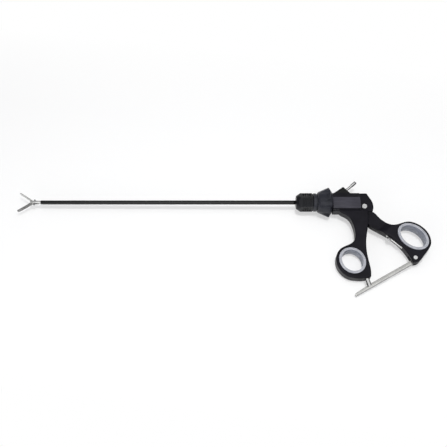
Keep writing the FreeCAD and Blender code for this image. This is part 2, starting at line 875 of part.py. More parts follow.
def hf_contact():
    base, axis = hf_frame()
    column = contact_column()
    room = Part.makeCylinder(hf_neck_radius, 3 * hf_shank, base - axis * hf_shank, axis)
    pieces = column.cut(room).Solids
    return min(pieces, key=lambda s: s.CenterOfMass.y)


def connector_block():
    corners = [(block_front, barrel_top), (block_back, barrel_top), (block_apex.x, block_apex.y)]
    body = prism(corners, -block_half, block_half)
    apex = [e for e in body.Edges if abs(e.BoundBox.YMin - block_apex.y) < rim_tolerance]
    body = body.makeFillet(block_apex_round, apex)
    base, axis = hf_frame()
    socket = Part.makeCylinder(hf_neck_radius, 2 * hf_shank, base - axis * hf_shank, axis)
    return body.cut([socket, contact_column()])


# Thumb lever
def lever_outline():
    upper = [(85.0, -13.4), (90.5, -15.4), (95.9, -21.9), (101.5, -27.1), (107.3, -30.6), (112.6, -31.2)]
    ring = ring_arc(
        thumb_centre, thumb_ring_major, thumb_ring_minor, thumb_tilt, (135, 112, 90, 66, 42, 20, 2)
    )
    heel = [(144.4, -67.2), (138.6, -74.2), (133.6, -78.4)]
    toe = (128.6, -79.0)
    inner = [toe, (125.6, -71.8), (120.9, -63.2), (112.6, -52.6)]
    inner += [(104.0, -45.0), (96.4, -40.0), (88.2, -35.4), (83.6, -32.0)]
    shoulder = (pivot_x - lever_head_radius + lever_shoulder_inset, pivot.y)
    return Part.Wire(
        [
            spline(upper + ring + heel + [toe]),
            spline(inner),
            line(inner[-1], shoulder),
            line(shoulder, upper[0]),
        ]
    )


def bar_slot():
    """Slot in the lever's lower end for the bar and the spring's tongue."""
    h = bar_slot_half
    hub = rod_z(bar_hub_radius + bar_slot_gap, bar_pin, -h, h)
    fan = [bar_pin]
    for angle in (150, 176, 205, 225, 245, 270, 296, 324):
        fan.append(at_angle(bar_pin, bar_slot_reach, angle))
    return prism([(p.x, p.y) for p in fan], -h, h).fuse(hub)


def fork():
    """Fork above the pivot that drives the ball, with the lever at rest."""
    top = ball_arm + fork_above_ball
    block = Part.makeBox(2 * fork_half, top, 2 * lever_head_half, V(-fork_half, 0, -lever_head_half))
    room = ball_radius + ball_clearance
    seat_low = ball_arm - room - ball_seat_drop
    seat = Part.makeBox(2 * room, top, 2 * room, V(-room, seat_low, -room))
    slit_low = ball_arm - neck_slit_half - fork_half * math.tan(half_travel)
    slit = Part.makeBox(2 * fork_half, top, 2 * neck_slit_half, V(-2 * fork_half, slit_low, -neck_slit_half))
    tilt = lever_travel / 2
    for shape in (block, seat, slit):
        shape.rotate(ORIGIN, Z_AXIS, tilt)
        shape.translate(pivot)
    return block, [seat, slit]


def thumb_lever():
    body = rounded_slab(lever_outline(), arm_half, edge_round)
    rise = 2 * (arm_half - lever_head_half)
    for side in (1, -1):
        base = pivot + Z_AXIS * side * lever_head_half
        body = body.cut(Part.makeCone(thin_reach, thin_reach + 2 * thin_run, rise, base, Z_AXIS * side))
    disc = rod_z(lever_head_radius, pivot, -lever_head_half, lever_head_half)
    block, rooms = fork()
    body = body.fuse([disc, block, spring_pad()])
    ring_bore = ellipse_prism(
        thumb_centre,
        thumb_insert_major - insert_lip,
        thumb_insert_minor - insert_lip,
        thumb_tilt,
        -2 * arm_half,
        2 * arm_half,
    )
    cuts = rooms + [
        ring_bore,
        bar_slot(),
        rod_z(screw_radius + screw_clearance, pivot, -arm_half, arm_half),
        rod_z(bar_pin_radius + pin_clearance, bar_pin, -2 * arm_half, 2 * arm_half),
        spring_strip(),
        spring_screw_shank(),
    ]
    return body.cut(cuts)


# Leaf spring
def spring_normal():
    along = spring_bend - spring_root
    along.normalize()
    return along, V(along.y, -along.x, 0)


def spring_strip():
    hub_gap = bar_hub_radius + spring_clearance + spring_thickness
    tip = at_angle(bar_pin, hub_gap, 158)
    inner = [spring_root, spring_bend, at_angle(bar_pin, hub_gap + spring_tongue_rise, 133), tip]
    outer = []
    for n, p in enumerate(inner):
        before = inner[max(n - 1, 0)]
        after = inner[min(n + 1, len(inner) - 1)]
        d = after - before
        d.normalize()
        outer.append(p + V(d.y, -d.x, 0) * spring_thickness)
    points = [(p.x, p.y) for p in inner + outer[::-1]]
    strip = prism(points, -spring_half_width, spring_half_width)
    for low, high in (
        (spring_tongue_half, 2 * spring_half_width),
        (-2 * spring_half_width, -spring_tongue_half),
    ):
        strip = strip.cut(rod_z(spring_tongue_reach, bar_pin, low, high))
    return strip


def spring_pad():
    """Pad on the lever's inner edge that the spring is screwed to."""
    along, out = spring_normal()
    start = spring_root - along * spring_pad_before
    end = spring_root + along * spring_pad_length
    corners = [start, end, end - out * spring_pad_depth, start - out * spring_pad_depth]
    return prism([(p.x, p.y) for p in corners], -spring_half_width, spring_half_width)


def spring_screw_place():
    along, out = spring_normal()
    return spring_root + along * spring_screw_from_root, out


def spring_screw_shank():
    place, out = spring_screw_place()
    depth = spring_screw_depth + 2 * spring_thickness
    return Part.makeCylinder(spring_screw_radius, depth, place - out * spring_screw_depth, out)


def leaf_spring():
    return spring_strip().cut(spring_screw_shank())


def leaf_spring_screw():
    place, out = spring_screw_place()
    head = Part.makeCylinder(spring_head_radius, spring_head_height, place + out * spring_thickness, out)
    end = place + out * (spring_thickness + spring_head_height)
    head = rounded_end(head, end, spring_head_round)
    depth = spring_screw_depth + spring_thickness
    shank = Part.makeCylinder(spring_screw_radius, depth, place - out * spring_screw_depth, out)
    return shank.fuse(head)


# Ratchet
def along_bar(distance, offset):
    """Point at a distance from the bar's pin along the bar, offset towards its toothed edge."""
    a = math.radians(180 + bar_angle)
    u = V(math.cos(a), math.sin(a), 0)
    n = V(u.y, -u.x, 0)
    return bar_pin + u * distance + n * offset


def ratchet_bar():
    top = bar_half_width - bar_offset
    bottom = -bar_half_width - bar_offset
    taper = bar_length - bar_taper_length
    tip_top = bottom + bar_tip_width
    corners = [
        along_bar(0, top),
        along_bar(taper, top),
        along_bar(bar_length - bar_corner, tip_top),
        along_bar(bar_length, tip_top - bar_corner),
        along_bar(bar_length, bottom + bar_corner),
        along_bar(bar_length - bar_corner, bottom),
        along_bar(bar_heel, bottom),
        along_bar(0, -bar_hub_radius),
    ]
    body = prism([(p.x, p.y) for p in corners], -bar_half, bar_half)
    body = body.fuse(rod_z(bar_hub_radius, bar_pin, -bar_half, bar_half))
    cuts = [rod_z(bar_pin_radius, bar_pin, -bar_half, bar_half)]
    for n in range(ratchet_teeth):
        start = ratchet_teeth_start + n * ratchet_pitch
        edge = top
        if start > taper:
            edge = top - (start - taper) * (top - tip_top) / bar_taper_length
        foot = start + ratchet_pitch * ratchet_width_share
        notch = [
            along_bar(start, edge + cut_over),
            along_bar(foot, edge + cut_over),
            along_bar(foot, edge),
            along_bar(start, edge - ratchet_depth),
        ]
        cuts.append(prism([(p.x, p.y) for p in notch], -bar_half, bar_half))
    return body.cut(cuts)


def ratchet_pin():
    shank = rod_z(bar_pin_radius, bar_pin, -arm_half, arm_half)
    heads = []
    for low in (arm_half, -arm_half - bar_pin_head_height):
        heads.append(rod_z(bar_pin_head_radius, bar_pin, low, low + bar_pin_head_height))
    return shank.fuse(heads)


def catch_plate():
    low = bar_half + catch_clearance
    along = catch_tip - catch_foot
    along.normalize()
    side = V(-along.y, along.x, 0) * catch_half_width
    corners = [catch_foot + side, catch_tip + side, catch_tip - side, catch_foot - side]
    plate = prism([(p.x, p.y) for p in corners], low, low + catch_thickness)
    ends = [rod_z(catch_half_width, p, low, low + catch_thickness) for p in (catch_foot, catch_tip)]
    return plate.fuse(ends)


def catch_tooth():
    """Cross tooth that stands over the bar's toothed edge."""
    edge = bar_half_width - bar_offset + catch_clearance
    u = V(math.cos(math.radians(bar_angle)), math.sin(math.radians(bar_angle)), 0)
    distance = (bar_pin - catch_tip).dot(u)
    top = edge + catch_tooth_height
    points = [along_bar(distance - catch_tooth_half, top), along_bar(distance + catch_tooth_half, top)]
    points += [along_bar(distance + catch_tooth_flat, edge), along_bar(distance - catch_tooth_flat, edge)]
    return prism([(p.x, p.y) for p in points], -bar_half, bar_half + catch_clearance)


def catch():
    return catch_plate().fuse(catch_tooth()).cut(catch_pin())


def catch_pin():
    top = bar_half + catch_clearance + catch_thickness + catch_pin_over
    return rod_z(catch_pin_radius, catch_foot, -arm_half, top)


def main():
    os.makedirs("parts", exist_ok=True)
    upper_jaw = jaw_closed()
    upper_pin = link_pin_closed()
    pieces = {
        "front_handle": front_handle(),
        "connector_block": connector_block(),
        "hf_pin": hf_pin(),
        "hf_contact": hf_contact(),
        "front_bush": front_bush(),
        "pivot_screw": pivot_screw(),
        "pivot_nut": pivot_nut(),
        "finger_ring_insert": finger_ring_insert(),
        "catch": catch(),
        "catch_pin": catch_pin(),
        "rotation_wheel": rotation_wheel(),
        "knob_collar": knob_collar(),
        "sheath_nut": sheath_nut(),
        "spindle": spindle(),
        "spindle_circlip": spindle_circlip(),
        "inner_tube": inner_tube(),
        "insulation_sleeve": insulation_sleeve(),
        "tube_seal": tube_seal(),
        "rod_seal": rod_seal(),
        "jaw_clevis": jaw_clevis(),
        "jaw_pivot_pin": jaw_pivot_pin(),
        "jaw_upper": opened(upper_jaw, 1),
        "jaw_lower": opened(upper_jaw, -1),
        "link_pin_upper": opened(upper_pin, 1),
        "link_pin_lower": opened(upper_pin, -1),
        "link_upper": link(1),
        "link_lower": link(-1),
        "push_rod": push_rod(),
        "rod_end_pin": rod_end_pin(),
        "rod_ball": rod_ball(),
        "thumb_lever": thumb_lever(),
        "thumb_ring_insert": thumb_ring_insert(),
        "leaf_spring": leaf_spring(),
        "leaf_spring_screw": leaf_spring_screw(),
        "ratchet_pin": ratchet_pin(),
        "ratchet_bar": ratchet_bar(),
    }
    for name, shape in pieces.items():
        save(shape, name)
    print(f"pivot {pivot.x:.3f} {pivot.y:.3f}, ball x {ball_x:.3f}, rod travel {rod_travel:.4f}")
    print(f"jaw pivot {pivot_end:.3f}, rod pin open {rod_pin_open:.4f}, closed {rod_pin_closed:.4f}")


main()
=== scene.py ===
import json
import math

import bpy
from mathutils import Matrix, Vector


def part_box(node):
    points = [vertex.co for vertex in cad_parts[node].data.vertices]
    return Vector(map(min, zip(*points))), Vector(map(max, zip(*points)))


# Looks of the laparoscopic grasper. Lengths are millimetres where a name ends in _mm and metres
# elsewhere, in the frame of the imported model: X along the shaft towards the handle, Y towards the top
# of the barrel, Z out of the plane of the handles. Colours in whole numbers are sRGB values from 0 to
# 255, and colours in fractions are linear light.

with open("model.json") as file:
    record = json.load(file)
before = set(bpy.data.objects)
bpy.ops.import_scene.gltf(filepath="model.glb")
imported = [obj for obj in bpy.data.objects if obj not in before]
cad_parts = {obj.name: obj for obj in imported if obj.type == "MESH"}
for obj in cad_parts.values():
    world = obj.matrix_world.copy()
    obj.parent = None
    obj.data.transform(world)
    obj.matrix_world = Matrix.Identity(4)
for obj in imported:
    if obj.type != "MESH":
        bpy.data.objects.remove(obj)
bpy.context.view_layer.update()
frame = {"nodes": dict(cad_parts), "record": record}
nodes = frame["nodes"]
slots = {part["node"]: part["material_slot"] for part in frame["record"]["subparts"]}

MM = 0.001
WHITE = (1.0, 1.0, 1.0, 1.0)
z_axis = (0, 0, 1)

# Camera, worked out from the photograph: 26 degrees off the vertical, above the instrument
camera_place_mm = (-86.06, -376.27, 714.59)
camera_tilt = math.radians(26.0)
camera_lens = 54.77
sensor_width = 36.0
camera_near = 0.01
camera_far = 20.0


def make_camera():
    data = bpy.data.cameras.new("camera")
    data.lens = camera_lens
    data.sensor_width = sensor_width
    data.clip_start = camera_near
    data.clip_end = camera_far
    camera = bpy.data.objects.new("camera", data)
    camera.location = Vector(camera_place_mm) * MM
    camera.rotation_euler = (camera_tilt, 0, 0)
    bpy.context.scene.collection.objects.link(camera)
    bpy.context.scene.camera = camera


# Node helpers
def linear(value):
    """Linear light from an sRGB value between 0 and 255."""
    share = value / 255
    return share / 12.92 if share <= 0.04045 else ((share + 0.055) / 1.055) ** 2.4


def srgb(red, green, blue):
    return (linear(red), linear(green), linear(blue), 1.0)


def parts_of(material):
    return material.node_tree, material.node_tree.nodes["Principled BSDF"]


def new_material(name):
    material = bpy.data.materials.new(name)
    material.use_nodes = True
    tree, shader = parts_of(material)
    return material, tree, shader


def feed(tree, value, socket):
    """Links another node's output to a socket, or sets the socket to a plain number or colour."""
    if isinstance(value, bpy.types.NodeSocket):
        tree.links.new(value, socket)
    else:
        socket.default_value = value


def object_place(tree):
    return tree.nodes.new("ShaderNodeTexCoord").outputs["Object"]


def calculate(tree, operation, first, second=0.0):
    """A Math node's result for two values, each a node's output or a plain number."""
    node = tree.nodes.new("ShaderNodeMath")
    node.operation = operation
    feed(tree, first, node.inputs[0])
    feed(tree, second, node.inputs[1])
    return node.outputs["Value"]


def product(tree, first, second):
    return calculate(tree, "MULTIPLY", first, second)


def span(tree, value, low, high, to_low=0, to_high=1):
    """The value between low and high, spread from to_low to to_high."""
    node = tree.nodes.new("ShaderNodeMapRange")
    node.inputs["From Min"].default_value = low
    node.inputs["From Max"].default_value = high
    node.inputs["To Min"].default_value = to_low
    node.inputs["To Max"].default_value = to_high
    tree.links.new(value, node.inputs["Value"])
    return node.outputs["Result"]


# Noise mostly lies between noise_low and noise_high, and clouds spread out its middle part
noise_low, noise_high = 0.3, 0.7
cloud_low, cloud_high = 0.35, 0.65


def grain(tree, size_mm, detail, turn=0.0, roughness=0.55):
    """Noise whose grains measure size_mm along X, Y and Z, turned about Z."""
    turned = tree.nodes.new("ShaderNodeMapping")
    turned.vector_type = "POINT"
    turned.inputs["Rotation"].default_value = (0, 0, -turn)
    stretched = tree.nodes.new("ShaderNodeMapping")
    stretched.inputs["Scale"].default_value = tuple(1 / (s * MM) for s in size_mm)
    texture = tree.nodes.new("ShaderNodeTexNoise")
    texture.inputs["Scale"].default_value = 1.0
    texture.inputs["Detail"].default_value = detail
    texture.inputs["Roughness"].default_value = roughness
    tree.links.new(object_place(tree), turned.inputs["Vector"])
    tree.links.new(turned.outputs["Vector"], stretched.inputs["Vector"])
    tree.links.new(stretched.outputs["Vector"], texture.inputs["Vector"])
    return texture.outputs["Fac"]


def patches(tree, size_mm, detail, low=cloud_low, high=cloud_high):
    """Soft patches between 0 and 1: noise with its middle values spread out."""
    return span(tree, grain(tree, size_mm, detail), low, high)


def blend_colours(tree, factor, first, second):
    node = tree.nodes.new("ShaderNodeMix")
    node.data_type = "RGBA"
    tree.links.new(factor, node.inputs["Factor"])
    feed(tree, first, node.inputs[6])
    feed(tree, second, node.inputs[7])
    return node.outputs[2]


def choose_shader(tree, factor, otherwise, chosen):
    node = tree.nodes.new("ShaderNodeMixShader")
    tree.links.new(factor, node.inputs["Fac"])
    tree.links.new(otherwise, node.inputs[1])
    tree.links.new(chosen, node.inputs[2])
    return node.outputs["Shader"]


def bump(tree, height, depth_mm):
    node = tree.nodes.new("ShaderNodeBump")
    node.inputs["Strength"].default_value = 1.0
    node.inputs["Distance"].default_value = depth_mm * MM
    tree.links.new(height, node.inputs["Height"])
    return node.outputs["Normal"]


def dress(tree, shader, colour, roughness, normal):
    """Links what varies over a surface to its shader."""
    tree.links.new(colour, shader.inputs["Base Color"])
    tree.links.new(roughness, shader.inputs["Roughness"])
    tree.links.new(normal, shader.inputs["Normal"])


def swing(tree, noise, roughness, smoother, rougher):
    """A roughness that noise takes below and above its middle value."""
    return span(tree, noise, noise_low, noise_high, roughness - smoother, roughness + rougher)


def recolour(tree, shader, factor, colour):
    """Blends the colour that a shader has so far towards another one."""
    so_far = shader.inputs["Base Color"].links[0].from_socket
    blended = blend_colours(tree, factor, so_far, colour)
    tree.links.new(blended, shader.inputs["Base Color"])


def size_along(tree, vector, axis):
    """Size of a vector's part along an axis, whichever way it points."""
    parts = tree.nodes.new("ShaderNodeSeparateXYZ")
    tree.links.new(vector, parts.inputs["Vector"])
    return calculate(tree, "ABSOLUTE", parts.outputs[axis])


def flatness(tree):
    """1 where the surface lies square to Z, 0 where it stands upright."""
    geometry = tree.nodes.new("ShaderNodeNewGeometry")
    return size_along(tree, geometry.outputs["True Normal"], "Z")


def along_direction(tree, direction, start_mm=0):
    """Distance in millimetres along a direction, counted from start_mm."""
    along = tree.nodes.new("ShaderNodeVectorMath")
    along.operation = "DOT_PRODUCT"
    along.inputs[1].default_value = tuple(c / MM for c in direction)
    tree.links.new(object_place(tree), along.inputs[0])
    return calculate(tree, "SUBTRACT", along.outputs["Value"], start_mm)


def wave_along(tree, distance, pitch_mm):
    """A wave between 0 and 1 that repeats every pitch_mm of a distance."""
    angle = product(tree, distance, 2 * math.pi / pitch_mm)
    return span(tree, calculate(tree, "SINE", angle), -1, 1)


def paint_flank_shade(tree, shader, direction, middle_mm, bands_mm, dark):
    """Painted shade and painted dark reflections on steel: darker outside given distances from a middle
    line, where flanks mirror dark walls.
    """
    across = along_direction(tree, direction, middle_mm)
    for start, end in bands_mm:
        recolour(tree, shader, span(tree, across, start, end), dark)


def dot_mm(point, direction):
    return point[0] * direction[0] + point[1] * direction[1]


# Black polymers, with a fine moulding texture
handle_look = {
    "dark": (12, 11, 17), "light": (20, 19, 26), "roughness": 0.4,
    "texture_mm": 0.22, "depth_mm": 0.012, "specular": 0.25,
}
moulded_looks = {
    "block_black": {
        "dark": (14, 14, 15), "light": (23, 23, 24), "roughness": 0.36,
        "texture_mm": 0.22, "depth_mm": 0.01, "specular": 0.3,
    },
    "wheel_black": {
        "dark": (34, 35, 41), "light": (47, 48, 55), "roughness": 0.3,
        "texture_mm": 0.25, "depth_mm": 0.012, "specular": 0.25,
    },
    "nut_black": {
        "dark": (13, 14, 17), "light": (22, 23, 27), "roughness": 0.4,
        "texture_mm": 0.25, "depth_mm": 0.014, "specular": 0.26,
    },
    "collar_black": {
        "dark": (37, 38, 43), "light": (50, 51, 57), "roughness": 0.32,
        "texture_mm": 0.25, "depth_mm": 0.014, "specular": 0.3,
    },
}
moulded_cloud_mm = (14, 14, 14)
moulded_handling_mm = (9, 9, 9)
moulded_smoother, moulded_rougher = 0.07, 0.07
# Flat middle of the cheek faces on the barrel: painted paler, a painted reflection of the overhead light
cheek_face_mm = (6.7, 7.3)
cheek_flatness = (0.95, 0.985)
cheek_streaks_mm = (16, 2.5, 2.5)
cheek_sheen_dark, cheek_sheen_light = (55, 54, 61), (66, 65, 73)


def moulded_plastic(name, dark, light, roughness, texture_mm, depth_mm, specular):
    """Moulded polymer: fine spark-eroded texture, cloudy colour and handled patches that shine more."""
    material, tree, shader = new_material(name)
    colour = blend_colours(tree, patches(tree, moulded_cloud_mm, detail=4), srgb(*dark), srgb(*light))
    texture = grain(tree, (texture_mm,) * 3, detail=2)
    handled = grain(tree, moulded_handling_mm, detail=5)
    uneven = swing(tree, handled, roughness, moulded_smoother, moulded_rougher)
    dress(tree, shader, colour, uneven, bump(tree, texture, depth_mm))
    shader.inputs["Specular IOR Level"].default_value = specular
    return material


def handle_plastic(name):
    """Black handle: near-black arms, and cheeks on the barrel whose flat middles are painted paler as a
    painted reflection, with faint streaks along it.
    """
    material = moulded_plastic(name, **handle_look)
    tree, shader = parts_of(material)
    from_plane_mm = product(tree, size_along(tree, object_place(tree), "Z"), 1 / MM)
    outside = span(tree, from_plane_mm, *cheek_face_mm)
    cheek_sheen_mask = product(tree, outside, span(tree, flatness(tree), *cheek_flatness))
    streaks = patches(tree, cheek_streaks_mm, detail=4)
    # Painted reflection: the flat middle of each cheek is drawn paler
    recolour(tree, shader, cheek_sheen_mask, blend_colours(tree, streaks, srgb(*cheek_sheen_dark), srgb(*cheek_sheen_light)))
    return material


# Insulation sleeve
sleeve_ripple_mm = (30, 1.2, 1.2)
sleeve_ripple_depth_mm = 0.02
sleeve_wiping_mm = (8, 0.5, 0.5)
sleeve_shade_mm = (22, 4, 4)
sleeve_smooth, sleeve_rough = 0.13, 0.2
sleeve_specular = 0.5
sleeve_coat, sleeve_coat_roughness = 0.15, 0.08


def glossy_sleeve(name):
    """Insulating tubing drawn over steel: long faint ripples, wiping marks along the tube."""
    material, tree, shader = new_material(name)
    shade = patches(tree, sleeve_shade_mm, 3, noise_low, noise_high)
    colour = blend_colours(tree, shade, srgb(8, 8, 9), srgb(13, 13, 14))
    marks = grain(tree, sleeve_wiping_mm, detail=5)
    wiping = span(tree, marks, cloud_low, noise_high, sleeve_smooth, sleeve_rough)
    ripples = bump(tree, grain(tree, sleeve_ripple_mm, detail=2), sleeve_ripple_depth_mm)
    dress(tree, shader, colour, wiping, ripples)
    shader.inputs["Specular IOR Level"].default_value = sleeve_specular
    shader.inputs["Coat Weight"].default_value = sleeve_coat
    shader.inputs["Coat Roughness"].default_value = sleeve_coat_roughness
    return material


# Ring linings: the upright wall is painted darker than the rim that faces up, as painted shade
ring_cloud_mm = (8, 8, 8)
ring_texture_mm = (0.35, 0.35, 0.35)
ring_texture_depth_mm = 0.008
ring_handling_mm = (5, 5, 5)
ring_smooth, ring_rough = 0.34, 0.46
ring_rim_flatness = (0.25, 0.8)
ring_light_through = 0.06
ring_light_depth = (0.0012, 0.0013, 0.0016)


def soft_ring(name):
    """Light bluish grey lining: fine matt texture, a little light coming through it, and painted shade
    on its upright wall.
    """
    material, tree, shader = new_material(name)
    cloud = patches(tree, ring_cloud_mm, detail=4)
    # Painted shade: the upright wall is drawn darker than the rim
    shaded_wall = blend_colours(tree, cloud, srgb(130, 134, 146), srgb(147, 151, 163))
    rim = blend_colours(tree, cloud, srgb(162, 164, 171), srgb(181, 182, 188))
    colour = blend_colours(tree, span(tree, flatness(tree), *ring_rim_flatness), shaded_wall, rim)
    handling = grain(tree, ring_handling_mm, detail=4)
    handled = span(tree, handling, noise_low, noise_high, ring_smooth, ring_rough)
    texture = bump(tree, grain(tree, ring_texture_mm, detail=2), ring_texture_depth_mm)
    dress(tree, shader, colour, handled, texture)
    shader.inputs["Subsurface Weight"].default_value = ring_light_through
    shader.inputs["Subsurface Radius"].default_value = ring_light_depth
    return material


# Bearing plastic and silicone
polymer_looks = {
    "bush_plastic": {"dark": (206, 203, 194), "light": (220, 217, 208), "roughness": 0.4},
    "seal_rubber": {"dark": (150, 92, 70), "light": (168, 106, 82), "roughness": 0.5},
}
polymer_cloud_mm = (4, 4, 4)
polymer_lathe_mm = (0.25, 9, 9)
polymer_lathe_depth_mm = 0.01
polymer_smoother, polymer_rougher = 0.05, 0.05


def plain_polymer(name, dark, light, roughness):
    """Turned bearing plastic or silicone: lathe lines round the shaft and a cloudy colour."""
    material, tree, shader = new_material(name)
    colour = blend_colours(tree, patches(tree, polymer_cloud_mm, detail=3), srgb(*dark), srgb(*light))
    lathe = grain(tree, polymer_lathe_mm, detail=2)
    uneven = swing(tree, lathe, roughness, polymer_smoother, polymer_rougher)
    dress(tree, shader, colour, uneven, bump(tree, lathe, polymer_lathe_depth_mm))
    return material


# Metals: lines_mm is the size of the grinding lines, depth_mm how deep they are
plain_looks = {
    "contact_brass": {
        "colour": (222, 190, 120), "roughness": 0.25, "lines_mm": (0.4, 3, 0.4), "depth_mm": 0.004,
    },
    "polished_steel": {
        "colour": (252, 252, 252), "roughness": 0.12, "lines_mm": (0.4, 0.4, 0.4), "depth_mm": 0.002,
    },
    "brushed_steel": {
        "colour": (232, 232, 231), "roughness": 0.22, "lines_mm": (0.2, 4, 4), "depth_mm": 0.004,
    },
    "link_steel": {
        "colour": (160, 160, 162), "roughness": 0.32, "lines_mm": (2, 0.15, 0.15), "depth_mm": 0.004,
    },
    # Upper and lower jaw are one steel, drawn as a lit copy and a copy with painted shade
    "lit_upper_jaw_steel": {
        "colour": (242, 242, 240), "roughness": 0.24, "lines_mm": (3, 0.15, 0.15), "depth_mm": 0.005,
    },
    "shaded_lower_jaw_steel": {
        "colour": (158, 158, 157), "roughness": 0.2, "lines_mm": (3, 0.15, 0.15), "depth_mm": 0.005,
    },
    "dark_steel": {
        "colour": (205, 205, 206), "roughness": 0.3, "lines_mm": (0.4, 0.4, 0.4), "depth_mm": 0.002,
    },
}
catch_look = {
    "colour": (244, 244, 244), "roughness": 0.16, "lines_mm": (0.4, 4, 0.4), "depth_mm": 0.003,
}
hf_pin_look = {
    "colour": (236, 236, 236), "roughness": 0.16, "lines_mm": (0.3, 0.3, 0.3), "depth_mm": 0.002,
}
leaf_look = {
    "colour": (236, 236, 235), "roughness": 0.22, "lines_mm": (4, 0.2, 0.2), "depth_mm": 0.003,
    "turn": math.radians(-43),
}
bar_turn = math.radians(29.7)
bar_look = {
    "colour": (246, 246, 243), "roughness": 0.25, "lines_mm": (6, 0.18, 0.18), "depth_mm": 0.005,
    "turn": bar_turn,
}
stain_mm = (6, 6, 6)
stain_shade = 0.82
line_sharpness = 0.7
metal_smoother, metal_rougher = 0.06, 0.1

# Places and middle lines of the four steel pieces that have painted shade on their flanks
catch_foot_mm = (73.7, -93.6)
catch_tip_mm = (76.6, -104.9)
catch_shade_bands_mm = ((1.0, 1.6), (-1.0, -1.6))
hf_base_mm = (59.57, 15.29)
hf_across = (0.6665, -0.7455, 0)
hf_shade_bands_mm = ((0.5, 1.4), (-1.0, -1.9))
leaf_shade_band_mm = ((0.6, -0.6),)
bar_pin_mm = (131.4, -73.4)
bar_offset_mm = 1.7
bar_rim_shade_band_mm = ((-1.9, -2.3),)
bar_toothed_half_mm = (-0.6, 0.4)
bar_plain_half_mm = (0, -0.8)
bar_wall_top_mm = (0.9, 0.7)
bar_wall_foot_mm = (-1.4, -1.2)
rack_pitch_mm = 1.25


def metal(name, colour, roughness, lines_mm, depth_mm, turn=0.0):
    """Bare metal with grinding lines of a given length, width and height, and faint stains."""
    material, tree, shader = new_material(name)
    bright = srgb(*colour)
    stained = tuple(stain_shade * c for c in bright[:3]) + (1.0,)
    shade = blend_colours(tree, patches(tree, stain_mm, 4, cloud_low, noise_high), bright, stained)
    lines = grain(tree, lines_mm, 4, turn, line_sharpness)
    worn = swing(tree, lines, roughness, metal_smoother, metal_rougher)
    dress(tree, shader, shade, worn, bump(tree, lines, depth_mm))
    shader.inputs["Metallic"].default_value = 1.0
    return material


def catch_steel(name):
    """Bent catch plate: bright along its middle, with painted shade towards its rounded flanks."""
    material = metal(name, **catch_look)
    tree, shader = parts_of(material)
    run = (Vector(catch_tip_mm) - Vector(catch_foot_mm)).normalized()
    across = (-run.y, run.x, 0)
    middle_mm = dot_mm(catch_foot_mm, across)
    # Painted shade on both rounded flanks of the catch
    paint_flank_shade(tree, shader, across, middle_mm, catch_shade_bands_mm, srgb(60, 60, 62))
    return material


def hf_pin_steel(name):
    """Plated connector pin with painted dark reflections along both flanks."""
    material = metal(name, **hf_pin_look)
    tree, shader = parts_of(material)
    middle_mm = dot_mm(hf_base_mm, hf_across)
    # Painted dark reflections along both flanks of the pin
    paint_flank_shade(tree, shader, hf_across, middle_mm, hf_shade_bands_mm, srgb(92, 92, 95))
    return material


def leaf_steel(name):
    """Leaf spring: bright rolled strip with painted shade towards its lower edge."""
    material = metal(name, **leaf_look)
    tree, shader = parts_of(material)
    # Painted shade towards the lower edge of the strip
    paint_flank_shade(tree, shader, z_axis, 0, leaf_shade_band_mm, srgb(80, 80, 82))
    return material


def rack_steel(name):
    """Ratchet bar: faces ground lengthwise, cutter marks across the toothed half, painted shade on the
    wall of its plain edge and along its lower rim.
    """
    material = metal(name, **bar_look)
    tree, shader = parts_of(material)
    lengthwise = (math.cos(bar_turn), math.sin(bar_turn), 0)
    across = (-math.sin(bar_turn), math.cos(bar_turn), 0)
    middle_mm = dot_mm(bar_pin_mm, across) - bar_offset_mm
    from_middle = along_direction(tree, across, middle_mm)
    marks = wave_along(tree, along_direction(tree, lengthwise), rack_pitch_mm)
    toothed = span(tree, from_middle, *bar_toothed_half_mm)
    recolour(tree, shader, product(tree, marks, toothed), srgb(176, 176, 174))
    # Painted shade on the upright wall along the plain edge
    height = along_direction(tree, z_axis)
    below_top = span(tree, height, *bar_wall_top_mm)
    wall_shade = product(tree, below_top, span(tree, height, *bar_wall_foot_mm))
    plain = span(tree, from_middle, *bar_plain_half_mm)
    recolour(tree, shader, product(tree, wall_shade, plain), srgb(30, 30, 32))
    # Painted shade along the lower rim
    paint_flank_shade(tree, shader, across, middle_mm, bar_rim_shade_band_mm, srgb(120, 120, 121))
    return material


# Materials by the slots of the record; own_material names the pieces that differ from their slot
makers = {
    "handle_black": handle_plastic,
    "sleeve_black": glossy_sleeve,
    "ring_grey": soft_ring,
    "catch_steel": catch_steel,
    "pin_steel": hf_pin_steel,
    "spring_steel": leaf_steel,
    "bar_steel": rack_steel,
}
look_tables = ((moulded_plastic, moulded_looks), (plain_polymer, polymer_looks), (metal, plain_looks))
own_material = {
    "sheath_nut": "nut_black",
    "knob_collar": "collar_black",
    "leaf_spring_screw": "dark_steel",
    "jaw_upper": "lit_upper_jaw_steel",
    "jaw_lower": "shaded_lower_jaw_steel",
    "catch": "catch_steel",
}


def make_materials():
    materials = {name: maker(name) for name, maker in makers.items()}
    for maker, looks in look_tables:
        for name, look in looks.items():
            materials[name] = maker(name, **look)
    return materials


def dress_nodes(materials):
    for name, node in nodes.items():
        node.data.materials.clear()
        node.data.materials.append(materials[own_material.get(name, slots[name])])


# Edges
weld_distance = 1e-6
edge_radius_mm = 0.18
edge_share_of_piece = 0.04
edge_segments = 2
edge_angle = math.radians(38)


def soften_edges():
    """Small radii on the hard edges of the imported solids, which catch the light as real ones do."""
    for name, node in nodes.items():
        low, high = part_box(name)
        thinnest = min(high - low)
        weld = node.modifiers.new("weld", "WELD")
        weld.merge_threshold = weld_distance
        round_over = node.modifiers.new("round", "BEVEL")
        round_over.width = min(edge_radius_mm * MM, edge_share_of_piece * thinnest)
        round_over.segments = edge_segments
        round_over.limit_method = "ANGLE"
        round_over.angle_limit = edge_angle
        round_over.use_clamp_overlap = True
        round_over.harden_normals = True


